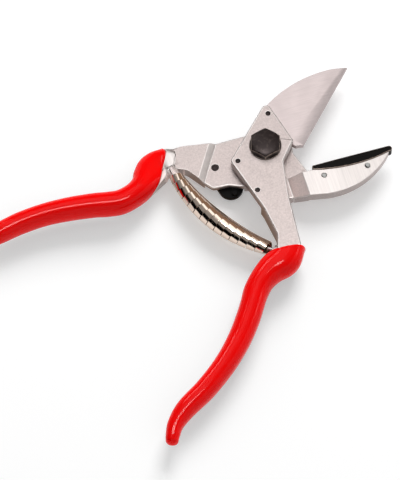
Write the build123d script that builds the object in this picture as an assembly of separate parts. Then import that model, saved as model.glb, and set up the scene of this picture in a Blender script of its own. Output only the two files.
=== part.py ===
"""Anvil pruning shears, opened: two forged handles, blade, anvil jaw, catch and strip spring.

Millimetres. The pivot axis is Z, and z = 0 is the rear face of the pivot nut.
The anvil half lies in the part frame, its working line along +X.
The blade half is drawn closed and then turned open about the pivot.
"""
import os
from math import atan2, cos, degrees, hypot, pi, radians, sin, sqrt

from build123d import *

# Layers at the pivot, from the rear to the front
NUT_RIM_T = 2.5
NUT_HUB_T = 2.0
ANVIL_PLATE_T = 5.0
RUN_GAP = 0.1
BLADE_T = 3.0
KITE_T = 4.5
HEAD_WASHER_T = 0.6
HEAD_T = 3.2

# Pivot hardware
BOLT_D = 8.0
BOLT_RUN_CLEAR = 0.05
FIT_CLEAR = 0.02
HEAD_AF = 13.0
HEAD_CHAMFER = 0.9
HEAD_CORNER_DEG = 73.3
HEAD_WASHER_D = 14.6
NUT_RIM_D = 18.0
NUT_HUB_D = 13.0
NUT_TEETH = 36
NUT_TOOTH_D = 0.9

# Lock segment beside the nut
SEGMENT_DEG = 152.0
SEGMENT_REACH = 12.4
SEGMENT_D = 9.2
SEGMENT_T = 1.9
SEGMENT_SLACK = 0.1
SEGMENT_SCREW_REACH = 13.4
SEGMENT_SCREW_D = 3.0
SEGMENT_SCREW_HEAD_D = 5.0
SEGMENT_SCREW_HEAD_T = 1.2
SEGMENT_SCREW_SINK = 0.9
SEGMENT_SCREW_L = 4.5
DRIVE_SLOT_W = 0.8
DRIVE_SLOT_T = 0.5

# Travel of the blade half, from open to the blade on the anvil
OPEN_ANGLE = 46.0
EDGE_GAP = 0.05

# Blade half, drawn closed
EDGE_Y = -14.2
TIP_X = 54.6
TIP_BLUNT = 0.4
HEEL_X = 10.4
HEEL_RISE = 2.9
BLADE_ROOT_X = 8.2
EDGE_T = 0.3
BEVEL_W = 0.9
BEVEL_T = 1.2
GRIND_W = 6.5
TANG_INSET = 0.8
TANG_END_GAP = 0.2
PIN_D = 2.1
PIN_SINK = 0.6
PIN_AT = [(15.1, 6.3), (-12.4, 7.5), (-21.2, -6.9)]
KITE_EDGE = 0.45
STEP_REACH = 28.0
STEP_AXIS_DEG = 217.7
BLADE_SHANK_T = 10.5

# Spine of the blade from the tip to the plate
BLADE_SPINE = [(49.1, -6.8), (42.9, -1.1), (32.1, 5.6), (20.4, 9.6)]

# Kite-shaped plate and its shank: x, y, corner radius
KITE = [
    (20.4, 10.1, 2.2), (8.4, -9.9, 0.5), (-2.8, -10.6, 3.0), (-18.0, -21.3, 8.0), (-36.1, -36.4, 0.0),
    (-41.5, -34.0, 0.0), (-43.0, -27.8, 0.0), (-36.5, -24.6, 6.0), (-27.8, -13.4, 10.0), (-14.0, 10.6, 2.5),
]

# Anvil half
HUB_R = 12.7
ANVIL_PLATE = [
    (-20.3, 11.0, 0.0), (-7.0, 11.0, 0.0), (12.2, -3.4, 0.0), (16.0, -15.0, 0.5), (13.0, -24.0, 0.5),
    (4.5, -25.2, 1.0), (-0.5, -21.6, 5.0), (-7.0, -15.8, 10.0), (-15.5, -12.9, 3.0), (-20.3, -10.8, 4.0),
    (-27.6, -10.3, 2.5), (-31.0, -6.2, 0.0),
]
ANVIL_SHANK = [
    (-20.3, 11.0, 0.0), (-36.0, 13.6, 3.0), (-43.0, 12.6, 0.0), (-47.0, 4.0, 0.0), (-43.6, 4.4, 2.0),
    (-36.4, 1.4, 6.0), (-31.0, -6.2, 0.0),
]
ANVIL_EDGE = 0.4
RIDGE_A = (-20.3, 11.0)
RIDGE_B = (-31.0, -6.2)
RIDGE_RISE = 1.5
RIDGE_RUN = 2.4
COLLAR_REACH = 14.7
COLLAR_RISE = 1.0
COLLAR_RUN = 2.0
NECK_STEP = 0.3

# Jaw, anvil strip and rivets
JAW_T = 6.0
JAW_TIP_T = 4.4
RAMP_X0 = 5.8
RAMP_X1 = 12.7
JAW_TAPER_X = 28.0
JAW_ROOT_Y = -15.4
SEAT_START = (17.5, -16.2)
SEAT_MID = (33.0, -18.8)
SEAT_END = (53.2, -16.9)
JAW_BELLY = (41.0, -26.2)
JAW_BASE = (21.0, -29.5)
JAW_HEEL = (11.3, -27.6)
JAW_ROOT_RISE = 2.2
STRIP_PROUD = 0.2
STRIP_X0 = 17.6
STRIP_NOSE = 1.0
TONGUE_T = 2.2
TONGUE_X0 = 18.8
TONGUE_X1 = 44.6
TONGUE_Y = -23.4
RIVET_D = 2.2
RIVET_AT = [(21.5, -20.3), (41.7, -21.1)]

# Thumb catch on the rear of the anvil plate
CATCH_AT = (-23.7, -0.45)
CATCH_ANGLE = 32.0
CATCH_T = 2.2
CATCH_SINK = 1.8
CATCH_HUB_D = 8.4
PAD_REACH = 10.9
PAD_DEG = -66.1
PAD_D = 11.2
NIB_REACH = 14.6
NIB_DEG = -69.5
NIB_D = 2.6
NIB_T = 1.7
NIB_CLEAR = 0.4
KNOB_D = 4.4
KNOB_T = 1.5
CATCH_CLEAR = 0.5
CATCH_WASHER_T = 0.5
CATCH_WASHER_D = 8.0
CATCH_SCREW_D = 3.3
CATCH_SCREW_SINK = 0.7
CATCH_HEAD_D = 6.2
CATCH_HEAD_T = 1.2
CATCH_RUN_GAP = 0.08

# Spring between the handles
SPRING_Z = 7.4
SPRING_ANVIL_AT = (-41.6, -1.0)
SPRING_BLADE_AT = (-41.2, -25.1)
SPRING_SAG = 5.0
SPRING_TURNS = 14
SPRING_WIRE_D = 1.8
SPRING_END_D = 5.8
SPRING_MID_D = 9.2
SEAT_D = 4.8
SEAT_L = 6.0
NUB_D = 1.7
NUB_L = 3.0
SPRING_SEAT_GAP = 0.15

# Grips: x, y, half width, half depth, height of the middle above the rest plane
GRIP_WALL = 1.5
GRIP_ROUND = 0.82
HANDLE_L = 146.4
BLADE_GRIP = [
    (-33.0, -31.2, 5.6, 6.3, 9.8), (-39.0, -32.2, 6.7, 6.4, 9.7), (-44.6, -32.0, 7.5, 6.6, 9.6),
    (-50.9, -29.2, 6.6, 6.5, 9.4), (-57.6, -27.8, 5.8, 6.3, 9.2), (-64.1, -28.0, 5.7, 6.1, 9.1),
    (-69.8, -29.2, 5.5, 6.0, 9.1), (-77.5, -30.7, 5.5, 6.0, 9.1), (-88.5, -31.9, 5.3, 5.9, 9.1),
    (-101.5, -31.7, 5.0, 5.9, 9.1), (-115.5, -29.6, 4.8, 5.7, 9.1), (-128.0, -26.2, 4.5, 5.2, 9.1),
    (-136.5, -25.5, 3.7, 4.5, 9.1), (-142.0, -26.8, 3.2, 3.8, 9.1), (-144.7, -27.8, 2.8, 3.2, 9.1),
    (-HANDLE_L, -28.5, 1.2, 1.6, 9.1),
]
ANVIL_GRIP = [
    (-39.6, 7.6, 6.0, 4.3, 5.6), (-45.9, 8.4, 7.6, 4.3, 5.7), (-50.3, 6.5, 8.1, 4.9, 6.4),
    (-54.2, 2.9, 7.2, 5.6, 7.4), (-57.6, -0.7, 5.9, 6.0, 8.3), (-62.6, -3.8, 5.4, 6.1, 8.9),
    (-69.2, -5.6, 5.4, 6.0, 9.1), (-75.3, -5.0, 5.4, 6.0, 9.1), (-81.5, -3.7, 5.3, 5.9, 9.1),
    (-92.5, -2.3, 5.1, 5.9, 9.1), (-104.0, -1.8, 4.8, 5.8, 9.1), (-116.0, -2.8, 4.7, 5.7, 9.1),
    (-128.0, -5.2, 4.4, 5.2, 9.1), (-136.5, -6.3, 3.7, 4.5, 9.1), (-142.0, -5.6, 3.2, 3.8, 9.1),
    (-144.7, -4.8, 2.8, 3.2, 9.1), (-HANDLE_L, -4.3, 1.2, 1.6, 9.1),
]

# Mouth of each grip: two points at one height, and how far it leans back per millimetre down
MOUTH_Z = 9.8
BLADE_GRIP_START = ((-42.4, -27.6), (-36.0, -36.4))
BLADE_MOUTH_LEAN = 0.0
ANVIL_GRIP_START = ((-41.8, 13.9), (-46.8, 4.9))
ANVIL_MOUTH_LEAN = 0.7

# Heights that follow from the layers
Z_ANVIL_BACK = NUT_RIM_T
Z_ANVIL_FACE = Z_ANVIL_BACK + ANVIL_PLATE_T
Z_BLADE_BACK = Z_ANVIL_FACE + RUN_GAP
Z_BLADE_MID = Z_BLADE_BACK + BLADE_T / 2
Z_BLADE_FACE = Z_BLADE_BACK + BLADE_T
Z_KITE_FACE = Z_BLADE_FACE + KITE_T
Z_WASHER_BACK = Z_KITE_FACE + BOLT_RUN_CLEAR
Z_HEAD_BACK = Z_WASHER_BACK + HEAD_WASHER_T
Z_HEAD_FACE = Z_HEAD_BACK + HEAD_T
Z_SHANK_BACK = Z_KITE_FACE - BLADE_SHANK_T
Z_CATCH_FACE = Z_ANVIL_BACK + CATCH_SINK
Z_CATCH_BACK = Z_CATCH_FACE - CATCH_T
Z_RECESS = Z_CATCH_FACE + CATCH_RUN_GAP + CATCH_WASHER_T
FAR = 400.0


def outline(points):
    """Closed face through points given as x, y and corner radius."""
    face = make_face(Polyline(*[(x, y) for x, y, r in points], close=True))
    for x, y, r in points:
        if r > 0:
            corner = sorted(face.vertices(), key=lambda v: hypot(v.X - x, v.Y - y))[0]
            face = fillet(corner, r)
    return face


def slab(face, low, high):
    """Flat face raised to a solid between two heights."""
    return extrude(Pos(0, 0, low) * face, high - low, dir=(0, 0, 1))


def rod(x, y, diameter, low, high):
    """Round bar along Z."""
    return slab(Pos(x, y) * Circle(diameter / 2), low, high)


def beyond(point, heading_deg):
    """Half plane that starts at a point and lies towards a heading."""
    return Pos(*point) * Rot(0, 0, heading_deg) * Pos(FAR / 2, 0) * Rectangle(FAR, FAR)


def heading(a, b):
    """Direction from a to b in degrees."""
    return degrees(atan2(b[1] - a[1], b[0] - a[0]))


def polar(reach, angle_deg, centre=(0.0, 0.0)):
    """Point at a distance and angle from a centre."""
    angle = radians(angle_deg)
    return (centre[0] + reach * cos(angle), centre[1] + reach * sin(angle))


def opened(shape):
    """Blade half turned from closed to the resting open place."""
    return Rot(0, 0, OPEN_ANGLE) * shape


def tube(stations, shrink):
    """Rounded bar lofted through stations along a handle."""
    sections = []
    for i, (x, y, half_w, half_d, z) in enumerate(stations):
        before = stations[max(i - 1, 0)]
        after = stations[min(i + 1, len(stations) - 1)]
        along = Vector(after[0] - before[0], after[1] - before[1], after[4] - before[4])
        across = Vector(-along.Y, along.X, 0)
        wide = 2 * (half_w - shrink)
        deep = 2 * (half_d - shrink)
        shape = RectangleRounded(wide, deep, GRIP_ROUND * min(wide, deep) / 2)
        sections.append(Plane(origin=(x, y, z), x_dir=across, z_dir=along) * shape)
    return loft(sections)


def mouth_side(start, lean):
    """Space on the pivot's side of a grip's mouth."""
    (ax, ay), (bx, by) = start
    across = Vector(bx - ax, by - ay)
    toward = across.rotate(Axis.Z, 90).normalized() - Vector(0, 0, lean)
    face = Plane(origin=(ax, ay, MOUTH_Z), x_dir=across, z_dir=toward)
    return extrude(face * Rectangle(FAR, FAR), FAR / 2)


def sleeve(stations, mouth, frame):
    """Grip sleeve over the core of a frame, cut off on a slant at its mouth."""
    return tube(stations, 0.0) - mouth - frame


def rounded_top(body, size):
    """Break the front edges of a forging."""
    return chamfer(body.edges().group_by(Axis.Z)[-1], size)


# Blade half: plate, shank and core
kite_face = outline(KITE)
step_point = polar(STEP_REACH, STEP_AXIS_DEG)
shank_face = kite_face & beyond(step_point, STEP_AXIS_DEG)
kite = rounded_top(slab(kite_face, Z_BLADE_FACE, Z_KITE_FACE), KITE_EDGE)
blade_shank = slab(shank_face, Z_SHANK_BACK, Z_BLADE_FACE)
blade_core = tube(BLADE_GRIP[1:-2], GRIP_WALL)


def catch_points(turn_deg):
    """Hub, pad and nib centres of the catch, turned from its released place."""
    pad = polar(PAD_REACH, PAD_DEG - turn_deg, CATCH_AT)
    nib = polar(NIB_REACH, NIB_DEG - turn_deg, CATCH_AT)
    return CATCH_AT, pad, nib


def catch_face(turn_deg, grow):
    """Outline of the catch, turned from its released place and grown."""
    hub, pad, nib = catch_points(turn_deg)
    ends = [(hub, CATCH_HUB_D / 2 + grow), (pad, PAD_D / 2 + grow)]
    side = radians(heading(hub, pad) + 90.0)
    left = [(p[0] + r * cos(side), p[1] + r * sin(side)) for p, r in ends]
    right = [(p[0] - r * cos(side), p[1] - r * sin(side)) for p, r in ends]
    face = make_face(Polyline(left[0], left[1], right[1], right[0], close=True))
    for (x, y), radius in ends:
        face += Pos(x, y) * Circle(radius)
    return face


nib_path = CenterArc(CATCH_AT, NIB_REACH, NIB_DEG - CATCH_ANGLE, CATCH_ANGLE)
notch_face = SlotArc(nib_path, NIB_D + 2 * NIB_CLEAR)
nib_notch = slab(notch_face, Z_SHANK_BACK - 1.0, Z_CATCH_FACE + NIB_T + NIB_CLEAR)


def spring_axis():
    """Centre, radius and end angles of the arc that the spring's axis follows."""
    a = Vector(*SPRING_ANVIL_AT)
    b = Vector(*SPRING_BLADE_AT).rotate(Axis.Z, OPEN_ANGLE)
    chord = b - a
    radius = (chord.length ** 2 / 4 + SPRING_SAG ** 2) / (2 * SPRING_SAG)
    inward = Vector(-chord.Y, chord.X).normalized()
    centre = a + chord * 0.5 + inward * (radius - SPRING_SAG)
    first = atan2(a.Y - centre.Y, a.X - centre.X)
    last = atan2(b.Y - centre.Y, b.X - centre.X)
    if last < first:
        last += 2 * pi
    return centre, radius, first, last


axis_centre, axis_radius, axis_first, axis_last = spring_axis()


def on_axis(angle):
    """Point of the spring's axis, its direction and its outward direction."""
    out = Vector(cos(angle), sin(angle))
    along = Vector(-sin(angle), cos(angle))
    return axis_centre + out * axis_radius + Vector(0, 0, SPRING_Z), along, out


def spring_seat(angle, sign):
    """Stud that a spring end stands on, with the nub that enters the coil."""
    at, along, out = on_axis(angle)
    face = Plane(origin=at - along * sign * SPRING_SEAT_GAP, x_dir=out, z_dir=along * sign)
    stud = extrude(face * Circle(SEAT_D / 2), -SEAT_L)
    return stud + extrude(face * Circle(NUB_D / 2), NUB_L)


blade_seat = Rot(0, 0, -OPEN_ANGLE) * spring_seat(axis_last, -1)
pin_holes = Part()
for x, y in PIN_AT:
    pin_holes += rod(x, y, PIN_D, 0, FAR / 4)
blade_bore = rod(0, 0, BOLT_D + 2 * BOLT_RUN_CLEAR, 0, FAR / 4)
blade_frame = kite + blade_shank + blade_core + blade_seat - nib_notch - pin_holes - blade_bore
blade_grip = sleeve(BLADE_GRIP, mouth_side(BLADE_GRIP_START, BLADE_MOUTH_LEAN), blade_frame)

# Blade with its tang under the plate, ground on both sides
spine = Spline((TIP_X, EDGE_Y + TIP_BLUNT), *BLADE_SPINE)
blade_root = (BLADE_ROOT_X, EDGE_Y + HEEL_RISE)
blade_face = make_face([
    spine,
    Polyline(BLADE_SPINE[-1], (BLADE_ROOT_X, 0), blade_root, (HEEL_X, EDGE_Y), (TIP_X, EDGE_Y)),
    Line((TIP_X, EDGE_Y), (TIP_X, EDGE_Y + TIP_BLUNT)),
])
tang_end = polar(STEP_REACH - TANG_END_GAP, STEP_AXIS_DEG)
tang_face = offset(kite_face, -TANG_INSET) - beyond(tang_end, STEP_AXIS_DEG)
blade = slab(blade_face + tang_face, Z_BLADE_BACK, Z_BLADE_FACE)
for side in (1, -1):
    low = 2.0
    flank = Polyline(
        (EDGE_Y + GRIND_W, Z_BLADE_MID + side * BLADE_T / 2),
        (EDGE_Y + BEVEL_W, Z_BLADE_MID + side * BEVEL_T / 2),
        (EDGE_Y, Z_BLADE_MID + side * EDGE_T / 2),
        (EDGE_Y - low, Z_BLADE_MID + side * EDGE_T / 2),
        (EDGE_Y - low, Z_BLADE_MID + side * BLADE_T),
        (EDGE_Y + GRIND_W, Z_BLADE_MID + side * BLADE_T),
        close=True,
    )
    blade -= extrude(Plane.YZ.offset(HEEL_X) * make_face(flank), TIP_X)
blade = blade - pin_holes - blade_bore

blade_pins = Part()
for x, y in PIN_AT:
    blade_pins += rod(x, y, PIN_D, Z_BLADE_BACK, Z_KITE_FACE - PIN_SINK)

# Anvil half: plate, shank behind the ridge, jaw and core
plate_face = outline(ANVIL_PLATE) + Circle(HUB_R)
anvil_plate = rounded_top(slab(plate_face, Z_ANVIL_BACK, Z_ANVIL_FACE), ANVIL_EDGE)
ridge_out = heading(RIDGE_A, RIDGE_B) - 90.0
z_shank = Z_ANVIL_FACE + RIDGE_RISE
z_collar = z_shank + COLLAR_RISE
ridge_mid = ((RIDGE_A[0] + RIDGE_B[0]) / 2, (RIDGE_A[1] + RIDGE_B[1]) / 2, 0)
ridge_dir = Vector(1, 0, 0).rotate(Axis.Z, ridge_out)
side_plane = Plane(origin=ridge_mid, x_dir=ridge_dir, z_dir=ridge_dir.cross(Vector(0, 0, 1)))
shank_side = make_face(Polyline(
    (-0.5, Z_ANVIL_BACK), (-0.5, Z_ANVIL_FACE), (0, Z_ANVIL_FACE), (RIDGE_RUN, z_shank),
    (COLLAR_REACH, z_shank), (COLLAR_REACH + COLLAR_RUN, z_collar), (FAR / 8, z_collar), (FAR / 8, Z_ANVIL_BACK),
    close=True,
))
shank_block = extrude(side_plane * shank_side, FAR / 8, both=True)
anvil_shank = slab(outline(ANVIL_SHANK), Z_ANVIL_BACK, z_shank)
anvil_neck = tube(ANVIL_GRIP[:6], NECK_STEP)
anvil_mouth = mouth_side(ANVIL_GRIP_START, ANVIL_MOUTH_LEAN)
anvil_neck &= anvil_mouth
anvil_shank = (anvil_shank + anvil_neck) & shank_block
anvil_core = tube(ANVIL_GRIP[1:-2], GRIP_WALL)

seat = ThreePointArc(SEAT_START, SEAT_MID, SEAT_END)
jaw_root = (RAMP_X0, JAW_HEEL[1] + JAW_ROOT_RISE)
jaw_face = make_face([
    Line((RAMP_X0, JAW_ROOT_Y), SEAT_START),
    seat,
    ThreePointArc(SEAT_END, JAW_BELLY, JAW_BASE),
    Line(JAW_BASE, JAW_HEEL),
    Line(JAW_HEEL, jaw_root),
    Line(jaw_root, (RAMP_X0, JAW_ROOT_Y)),
])


def jaw_block(grow):
    """Side profile of the jaw: ramp, level jaw and taper to its tip."""
    half = JAW_T / 2 + grow
    half_tip = JAW_TIP_T / 2 + grow
    end = TIP_X + 4.0
    side = Polyline(
        (RAMP_X0 - 1.0, Z_ANVIL_BACK), (RAMP_X0 - 1.0, Z_ANVIL_FACE), (RAMP_X0, Z_ANVIL_FACE),
        (RAMP_X1, Z_BLADE_MID + half), (JAW_TAPER_X, Z_BLADE_MID + half), (end, Z_BLADE_MID + half_tip),
        (end, Z_BLADE_MID - half_tip), (JAW_TAPER_X, Z_BLADE_MID - half), (RAMP_X1, Z_BLADE_MID - half),
        (RAMP_X0, Z_ANVIL_BACK), close=True,
    )
    return extrude(Plane.XZ * make_face(side), FAR / 4, both=True)


jaw = slab(jaw_face, 0, FAR / 8) & jaw_block(0.0)
tongue_face = Polyline(
    (TONGUE_X0, TONGUE_Y), (TONGUE_X1, TONGUE_Y), (TONGUE_X1, EDGE_Y), (TONGUE_X0, EDGE_Y), close=True,
)
tongue_low = Z_BLADE_MID - TONGUE_T / 2
tongue = slab(make_face(tongue_face), tongue_low, tongue_low + TONGUE_T) & slab(jaw_face, 0, FAR / 8)
rivet_holes = Part()
for x, y in RIVET_AT:
    rivet_holes += rod(x, y, RIVET_D, 0, FAR / 4)

catch_room = Sketch()
for step in range(5):
    catch_room += catch_face(CATCH_ANGLE * step / 4, CATCH_CLEAR)
catch_recess = slab(catch_room, 0, Z_RECESS)
catch_hole = rod(*CATCH_AT, CATCH_SCREW_D, 0, FAR / 4)
nut_well = rod(0, 0, NUT_HUB_D + 2 * FIT_CLEAR, 0, Z_ANVIL_BACK + NUT_HUB_T)
anvil_bore = rod(0, 0, BOLT_D + 2 * FIT_CLEAR, 0, FAR / 4)
segment_screw_at = polar(SEGMENT_SCREW_REACH, SEGMENT_DEG)
z_segment_tip = Z_ANVIL_BACK - SEGMENT_T + SEGMENT_SCREW_SINK + SEGMENT_SCREW_L
segment_hole = rod(*segment_screw_at, SEGMENT_SCREW_D, 0, z_segment_tip)

anvil_frame = anvil_plate + anvil_shank + anvil_core + jaw + spring_seat(axis_first, 1)
anvil_frame = anvil_frame - tongue - rivet_holes - catch_recess - catch_hole
anvil_frame = anvil_frame - nut_well - anvil_bore - segment_hole
anvil_grip = sleeve(ANVIL_GRIP, anvil_mouth, anvil_frame)

work_y = EDGE_Y - EDGE_GAP
strip_face = make_face([
    Line((STRIP_X0, work_y), (TIP_X - STRIP_NOSE, work_y)),
    TangentArc((TIP_X - STRIP_NOSE, work_y), SEAT_END, tangent=(1, 0)),
    seat,
    Line(SEAT_START, (STRIP_X0, work_y)),
])
anvil_strip = (slab(strip_face, 0, FAR / 8) & jaw_block(STRIP_PROUD)) + tongue - rivet_holes

anvil_rivets = Part()
for x, y in RIVET_AT:
    anvil_rivets += slab(Pos(x, y) * Circle(RIVET_D / 2), 0, FAR / 8) & jaw_block(0.0)

# Pivot bolt with a chamfered hexagon head
hexagon = Rot(0, 0, HEAD_CORNER_DEG) * RegularPolygon(HEAD_AF / 2, 6, major_radius=False)
head_r = HEAD_AF / sqrt(3)
head_turn = revolve(Plane.XZ * make_face(Polyline(
    (0, Z_HEAD_BACK), (head_r, Z_HEAD_BACK), (head_r, Z_HEAD_FACE - HEAD_CHAMFER),
    (head_r - 2 * HEAD_CHAMFER, Z_HEAD_FACE), (0, Z_HEAD_FACE), close=True,
)), Axis.Z)
pivot_bolt = (slab(hexagon, Z_HEAD_BACK, Z_HEAD_FACE) & head_turn) + rod(0, 0, BOLT_D, 0, Z_HEAD_BACK)
head_washer = rod(0, 0, HEAD_WASHER_D, Z_WASHER_BACK, Z_HEAD_BACK) - rod(0, 0, BOLT_D + 2 * FIT_CLEAR, 0, FAR / 4)

# Toothed nut and the segment that keeps it from turning
tooth_gaps = PolarLocations(NUT_RIM_D / 2, NUT_TEETH, start_angle=SEGMENT_DEG) * Circle(NUT_TOOTH_D / 2)
pivot_nut = slab(Circle(NUT_RIM_D / 2) - tooth_gaps, 0, Z_ANVIL_BACK)
pivot_nut += rod(0, 0, NUT_HUB_D, Z_ANVIL_BACK, Z_ANVIL_BACK + NUT_HUB_T)
pivot_nut -= rod(0, 0, BOLT_D + 2 * FIT_CLEAR, -1.0, FAR / 8)

segment_at = polar(SEGMENT_REACH, SEGMENT_DEG)
segment_face = Pos(*segment_at) * Circle(SEGMENT_D / 2) - Circle(NUT_RIM_D / 2 + SEGMENT_SLACK)
tooth_step = 360.0 / NUT_TEETH
for count in (-1, 0, 1):
    tooth_at = polar(NUT_RIM_D / 2, SEGMENT_DEG + count * tooth_step)
    segment_face += Pos(*tooth_at) * Circle(NUT_TOOTH_D / 2 - SEGMENT_SLACK)
lock_segment = slab(segment_face, Z_ANVIL_BACK - SEGMENT_T, Z_ANVIL_BACK)
lock_segment -= rod(*segment_screw_at, SEGMENT_SCREW_D, 0, FAR / 8)
z_segment_head = Z_ANVIL_BACK - SEGMENT_T + SEGMENT_SCREW_SINK
lock_segment -= rod(*segment_screw_at, SEGMENT_SCREW_HEAD_D + 2 * FIT_CLEAR, 0, z_segment_head)


def slotted_screw(at, shank_d, head_d, head_t, head_front, tip):
    """Cheese-head screw with a slot, its head at the rear."""
    screw = rod(*at, head_d, head_front - head_t, head_front) + rod(*at, shank_d, head_front, tip)
    slot = Pos(*at) * Rectangle(head_d + 1.0, DRIVE_SLOT_W)
    return screw - slab(slot, head_front - head_t - 1.0, head_front - head_t + DRIVE_SLOT_T)


segment_screw = slotted_screw(
    segment_screw_at, SEGMENT_SCREW_D, SEGMENT_SCREW_HEAD_D, SEGMENT_SCREW_HEAD_T,
    z_segment_head, z_segment_head + SEGMENT_SCREW_L,
)

# Thumb catch with its screw and spring washer
catch_pin_d = CATCH_SCREW_D + 2 * BOLT_RUN_CLEAR
hub, pad, nib = catch_points(0.0)
thumb_catch = slab(catch_face(0.0, 0.0), Z_CATCH_BACK, Z_CATCH_FACE)
thumb_catch += rod(*nib, NIB_D, Z_CATCH_FACE, Z_CATCH_FACE + NIB_T)
thumb_catch += rod(*pad, KNOB_D, Z_CATCH_BACK - KNOB_T, Z_CATCH_BACK)
thumb_catch -= rod(*hub, catch_pin_d, -1.0, FAR / 8)
z_catch_head = Z_CATCH_BACK - CATCH_RUN_GAP
catch_screw = slotted_screw(
    CATCH_AT, CATCH_SCREW_D, CATCH_HEAD_D, CATCH_HEAD_T, z_catch_head, Z_ANVIL_FACE - CATCH_SCREW_SINK,
)
catch_washer = rod(*CATCH_AT, CATCH_WASHER_D, Z_RECESS - CATCH_WASHER_T, Z_RECESS)
catch_washer -= rod(*CATCH_AT, catch_pin_d, 0, FAR / 8)


def coil_point(turn):
    """Point of the coil after a number of turns."""
    share = turn / SPRING_TURNS
    at, along, out = on_axis(axis_first + (axis_last - axis_first) * (end_share + (1 - 2 * end_share) * share))
    bulge = sin(pi * share)
    mean = (SPRING_END_D + (SPRING_MID_D - SPRING_END_D) * bulge - SPRING_WIRE_D) / 2
    return at + out * (mean * cos(2 * pi * turn)) + Vector(0, 0, mean * sin(2 * pi * turn))


def coil_heading(turn):
    """Unit tangent of the coil."""
    near = 1e-4
    return (coil_point(turn + near) - coil_point(turn - near)).normalized()


# Coil of the spring as one wire on pairs of arcs, half a turn each
axis_length = axis_radius * (axis_last - axis_first)
end_share = (SPRING_WIRE_D / 2 + SPRING_SEAT_GAP) / axis_length
arcs = []
for half_turn in range(2 * SPRING_TURNS):
    p1 = coil_point(half_turn / 2)
    p2 = coil_point(half_turn / 2 + 0.5)
    t1 = coil_heading(half_turn / 2)
    t2 = coil_heading(half_turn / 2 + 0.5)
    gap = p2 - p1
    both = t1 + t2
    spread = 2 * (1 - t1.dot(t2))
    reach = (sqrt(gap.dot(both) ** 2 + spread * gap.dot(gap)) - gap.dot(both)) / spread
    q1 = p1 + t1 * reach
    q2 = p2 - t2 * reach
    joint = (q1 + q2) * 0.5
    arcs.append(TangentArc(p1, joint, tangent=t1))
    arcs.append(TangentArc(joint, p2, tangent=(q2 - q1).normalized()))
coil_path = Wire(arcs)
coil_start = Plane(origin=coil_point(0), z_dir=coil_heading(0))
volute_spring = sweep(coil_start * Circle(SPRING_WIRE_D / 2), path=coil_path)

samples = [coil_point(i / 24) for i in range(24 * SPRING_TURNS + 1)]
least = min(
    (samples[i] - samples[j]).length
    for i in range(len(samples)) for j in range(i + 16, len(samples))
)
print("spring: least gap between turns %.2f mm" % (least - SPRING_WIRE_D))
print("spring: volume over section times length %.3f" % (
    volute_spring.volume / (pi * SPRING_WIRE_D ** 2 / 4 * coil_path.length)))

nodes = {
    "anvil_frame": anvil_frame,
    "anvil_grip": anvil_grip,
    "anvil_strip": anvil_strip,
    "anvil_rivets": anvil_rivets,
    "pivot_bolt": pivot_bolt,
    "head_washer": head_washer,
    "pivot_nut": pivot_nut,
    "lock_segment": lock_segment,
    "segment_screw": segment_screw,
    "thumb_catch": thumb_catch,
    "catch_screw": catch_screw,
    "catch_washer": catch_washer,
    "volute_spring": volute_spring,
    "blade_frame": opened(blade_frame),
    "blade_grip": opened(blade_grip),
    "blade": opened(blade),
    "blade_pins": opened(blade_pins),
}
os.makedirs("parts", exist_ok=True)
for name, shape in nodes.items():
    export_step(shape, os.path.join("parts", name + ".step"))
    print(name, len(shape.solids()), "solid(s)", "%.1f mm3" % shape.volume)
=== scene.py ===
import math

import bmesh
import bpy
from mathutils import Matrix, Vector


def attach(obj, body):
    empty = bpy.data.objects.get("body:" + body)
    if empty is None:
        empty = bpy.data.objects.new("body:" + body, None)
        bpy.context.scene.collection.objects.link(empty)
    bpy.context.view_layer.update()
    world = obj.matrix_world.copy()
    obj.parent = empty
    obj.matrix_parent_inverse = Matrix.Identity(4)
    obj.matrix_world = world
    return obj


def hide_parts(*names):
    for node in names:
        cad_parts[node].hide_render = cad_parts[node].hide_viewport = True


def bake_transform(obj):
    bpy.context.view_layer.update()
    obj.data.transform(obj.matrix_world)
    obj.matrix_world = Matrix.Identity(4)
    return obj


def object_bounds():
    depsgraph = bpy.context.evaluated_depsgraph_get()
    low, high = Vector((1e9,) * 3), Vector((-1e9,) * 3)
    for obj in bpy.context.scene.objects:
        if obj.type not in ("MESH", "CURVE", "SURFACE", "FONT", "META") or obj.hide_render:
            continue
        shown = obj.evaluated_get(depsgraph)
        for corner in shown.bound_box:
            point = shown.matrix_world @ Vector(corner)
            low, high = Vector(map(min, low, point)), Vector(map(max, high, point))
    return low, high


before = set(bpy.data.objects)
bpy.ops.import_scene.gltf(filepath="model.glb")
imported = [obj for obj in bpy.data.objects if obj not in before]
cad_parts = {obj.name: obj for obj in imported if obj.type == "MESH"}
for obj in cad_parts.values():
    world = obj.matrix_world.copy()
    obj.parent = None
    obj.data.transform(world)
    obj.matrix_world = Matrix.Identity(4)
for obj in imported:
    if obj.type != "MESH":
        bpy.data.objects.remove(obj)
CAD_BOX = [list(corner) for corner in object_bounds()]

bl_info = {
    "name": "Anvil Pruning Shears",
    "version": (1, 0, 0),
    "blender": (4, 5, 0),
    "location": "View3D > Sidebar > Shears",
    "description": "Dresses the pruning shears and sets the studio they lie in",
    "category": "Object",
}

MM = 0.001

# Points nearer than this are one point.
WELD = 0.002 * MM
FINE_WELD = 0.001 * MM
# Faces that differ less than this are one flat face.
FLAT_ANGLE = math.radians(0.4)
# Edges that turn by more than these degrees are sharp.
SHARP = 30
BLADE_SHARP = 35
SLEEVE_SHARP = 60
SPRING_SHARP = 40
ROUNDING_STEPS = 2

# The blade half is drawn with the jaws closed and then turned open by this angle.
OPEN_TURN = math.radians(46)

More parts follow.
